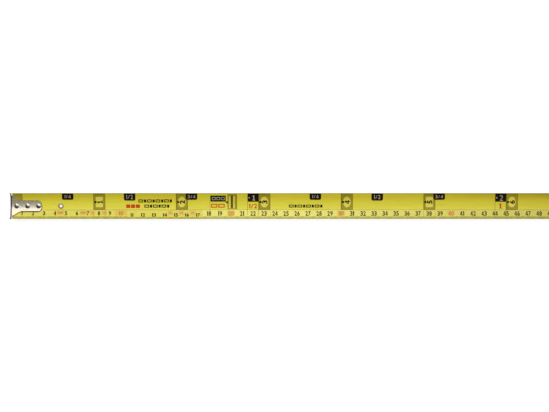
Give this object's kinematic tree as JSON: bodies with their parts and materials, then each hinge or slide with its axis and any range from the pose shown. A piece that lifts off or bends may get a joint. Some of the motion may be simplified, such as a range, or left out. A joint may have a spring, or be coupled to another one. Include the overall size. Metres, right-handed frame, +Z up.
{
  "type": "tape rule",
  "caption": "Pocket tape rule for bricklayers with its curved steel blade drawn out, end hook riveted on with end play, thumb lock, sprung drum and belt clip.",
  "frame": {"origin": "centre of the underside of the case's base pad", "axes": "+Z up from the base, +X along the blade from the end hook towards the case, +Y across the blade"},
  "size_m": [0.6003, 0.0437, 0.072],
  "materials": {
    "case_plastic": "satin",
    "grip_rubber": "matt",
    "plate_metal": "satin",
    "pad_rubber": "matt",
    "inner_plastic": "matt",
    "inner_steel": "satin",
    "screw_steel": "satin",
    "clip_steel": "brushed",
    "blade_coat": "satin lacquer",
    "rivet_steel": "polished",
    "eyelet_brass": "satin",
    "hook_steel": "satin nickel plate",
    "lock_plastic": "gloss"
  },
  "bodies": {
    "case": {"case_shell_left": "case_plastic", "case_shell_right": "case_plastic", "rubber_grip_left": "grip_rubber", "rubber_grip_right": "grip_rubber", "side_plate": "plate_metal", "base_pad": "pad_rubber", "mouth_guide": "inner_plastic", "hook_bumper": "pad_rubber", "spindle": "inner_steel", "case_screws": "screw_steel", "belt_clip": "clip_steel", "clip_screw": "screw_steel", "blade_lead": "blade_coat"},
    "drum": {"blade_drum": "inner_plastic", "drum_cover": "inner_plastic", "wound_blade": "blade_coat", "power_spring": "inner_steel"},
    "blade": {"blade_tip": "blade_coat", "blade_strip": "blade_coat", "hook_rivets": "rivet_steel", "nail_eyelet": "eyelet_brass"},
    "hook": {"end_hook": "hook_steel"},
    "lock": {"thumb_lock": "lock_plastic", "brake_pad": "pad_rubber"}
  },
  "joints": [
    {"name": "blade_slide", "type": "slide", "parent": "case", "child": "blade", "axis": [1, 0, 0], "range_m": [0, 0.518], "deforming": ["blade_strip"]},
    {"name": "hook_play", "type": "slide", "parent": "blade", "child": "hook", "axis": [1, 0, 0], "range_m": [-0.00055, 0.00055]},
    {"name": "drum_spin", "type": "hinge", "parent": "case", "child": "drum", "pos_m": [0, 0, 0.0397], "axis": [0, -1, 0], "range_deg": [0, 1170], "deforming": ["power_spring"]},
    {"name": "lock_slide", "type": "slide", "parent": "case", "child": "lock", "axis": [0, 0, 1], "range_m": [0, 0.006]}
  ],
  "couplings": [
    {"joint": "drum_spin", "follows": "blade_slide", "rad_per_m": 39.2}
  ]
}
